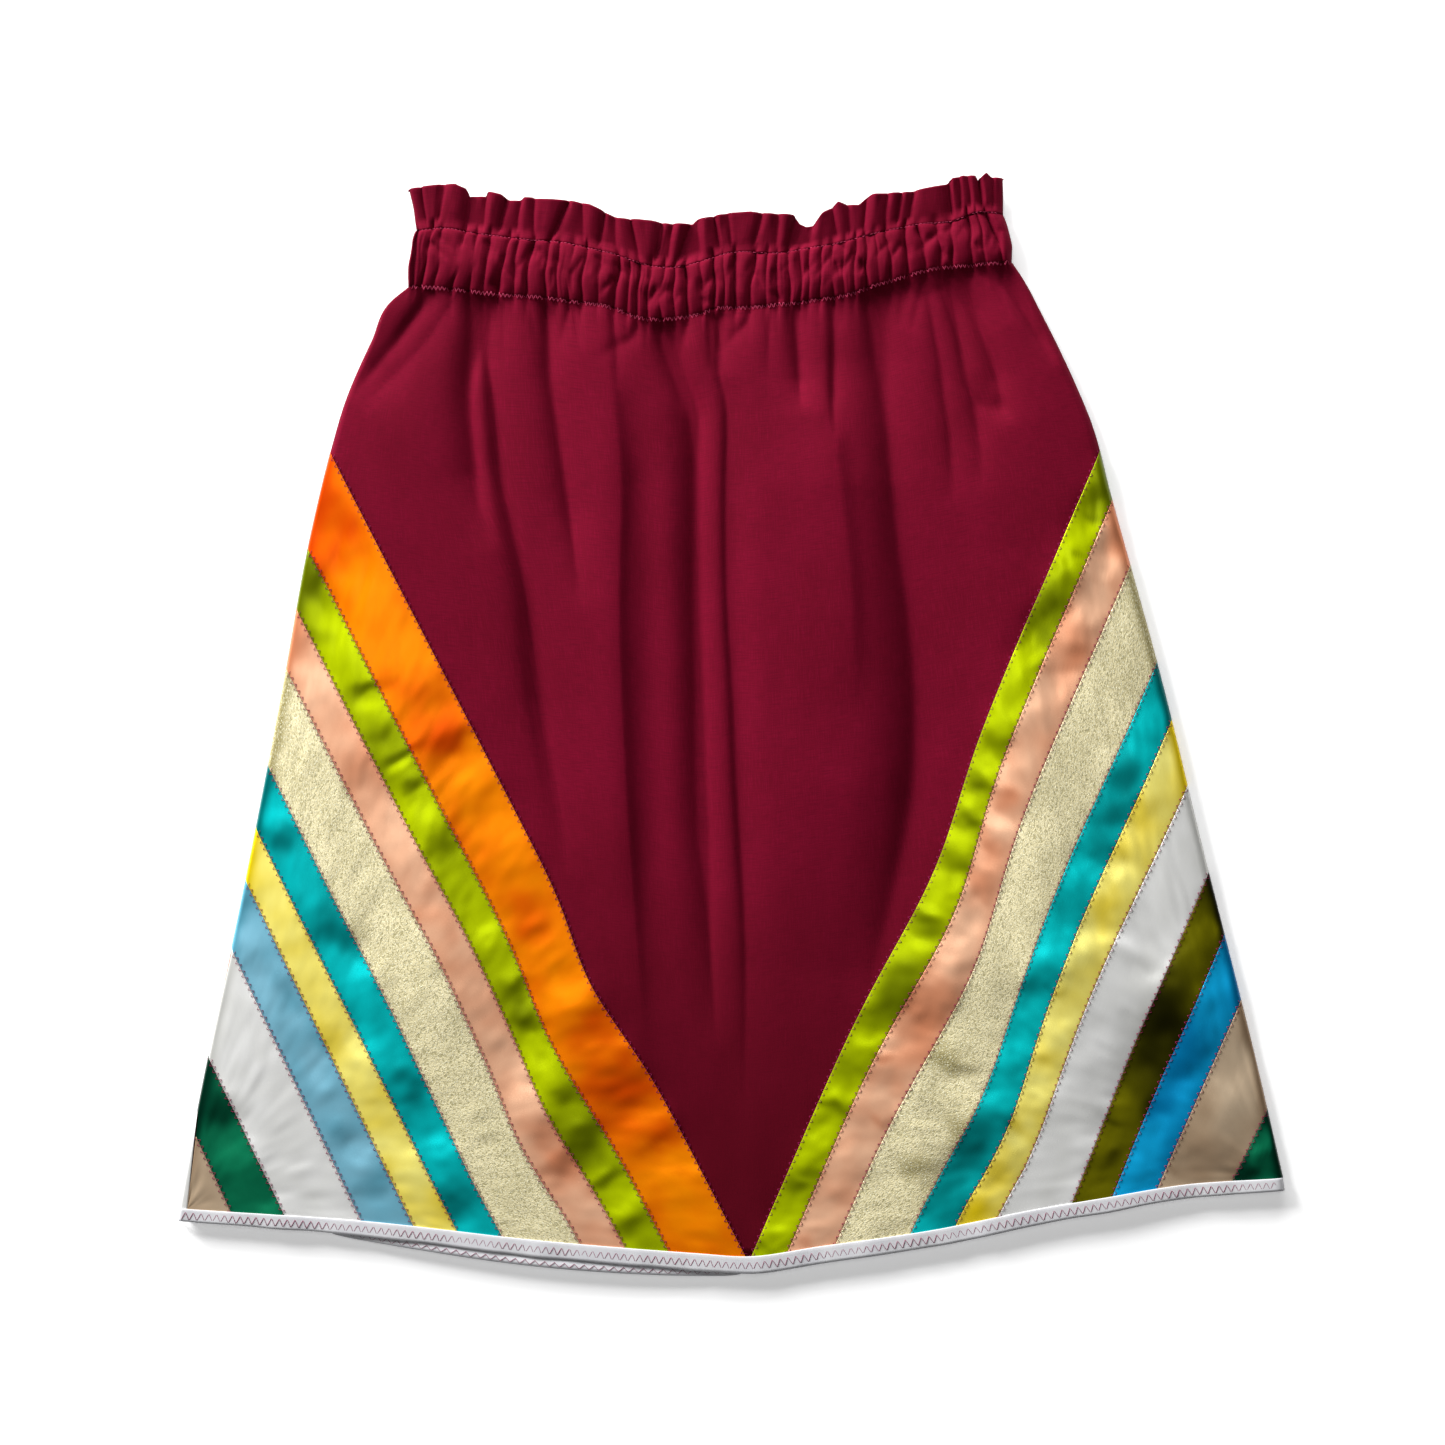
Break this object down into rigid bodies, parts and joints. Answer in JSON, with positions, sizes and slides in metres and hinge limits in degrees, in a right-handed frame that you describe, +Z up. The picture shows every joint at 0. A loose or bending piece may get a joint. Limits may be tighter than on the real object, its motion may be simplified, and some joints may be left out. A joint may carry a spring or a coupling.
{
  "type": "ribbon skirt",
  "caption": "Knee-length gathered cotton skirt laid flat, with an elastic casing, a ruffled header, satin and lame ribbons in a V on the front and a bound hem.",
  "frame": {"origin": "middle of the bounding box on the surface that the skirt lies on", "axes": "+X to the viewer's right across the skirt, +Y from the hem to the waist, +Z up from the surface through the front"},
  "size_m": [0.7642, 0.7602, 0.0131],
  "materials": {
    "burgundy_cotton": "matte plain weave",
    "hem_binding": "soft folded tape",
    "satin_orange": "glossy satin weave",
    "satin_lime": "glossy satin weave",
    "satin_peach": "glossy satin weave",
    "lame_gold": "glittering metallic weave",
    "satin_teal": "glossy satin weave",
    "satin_yellow": "glossy satin weave",
    "satin_sky": "glossy satin weave",
    "satin_white": "glossy satin weave",
    "satin_green": "glossy satin weave",
    "satin_beige": "glossy satin weave",
    "satin_olive": "glossy satin weave",
    "satin_blue": "glossy satin weave"
  },
  "bodies": {
    "root": {"front_panel": "burgundy_cotton", "front_casing": "burgundy_cotton", "front_header": "burgundy_cotton", "back_panel": "burgundy_cotton", "back_casing": "burgundy_cotton", "back_header": "burgundy_cotton", "hem_binding_front": "hem_binding", "hem_binding_back": "hem_binding", "ribbon_left_orange": "satin_orange", "ribbon_left_lime": "satin_lime", "ribbon_left_peach": "satin_peach", "ribbon_left_gold": "lame_gold", "ribbon_left_teal": "satin_teal", "ribbon_left_yellow": "satin_yellow", "ribbon_left_sky": "satin_sky", "ribbon_left_white": "satin_white", "ribbon_left_green": "satin_green", "ribbon_left_beige": "satin_beige", "ribbon_right_lime": "satin_lime", "ribbon_right_peach": "satin_peach", "ribbon_right_gold": "lame_gold", "ribbon_right_teal": "satin_teal", "ribbon_right_yellow": "satin_yellow", "ribbon_right_white": "satin_white", "ribbon_right_olive": "satin_olive", "ribbon_right_blue": "satin_blue", "ribbon_right_beige": "satin_beige", "ribbon_right_green": "satin_green", "back_ribbon_white": "satin_white"}
  },
  "joints": []
}
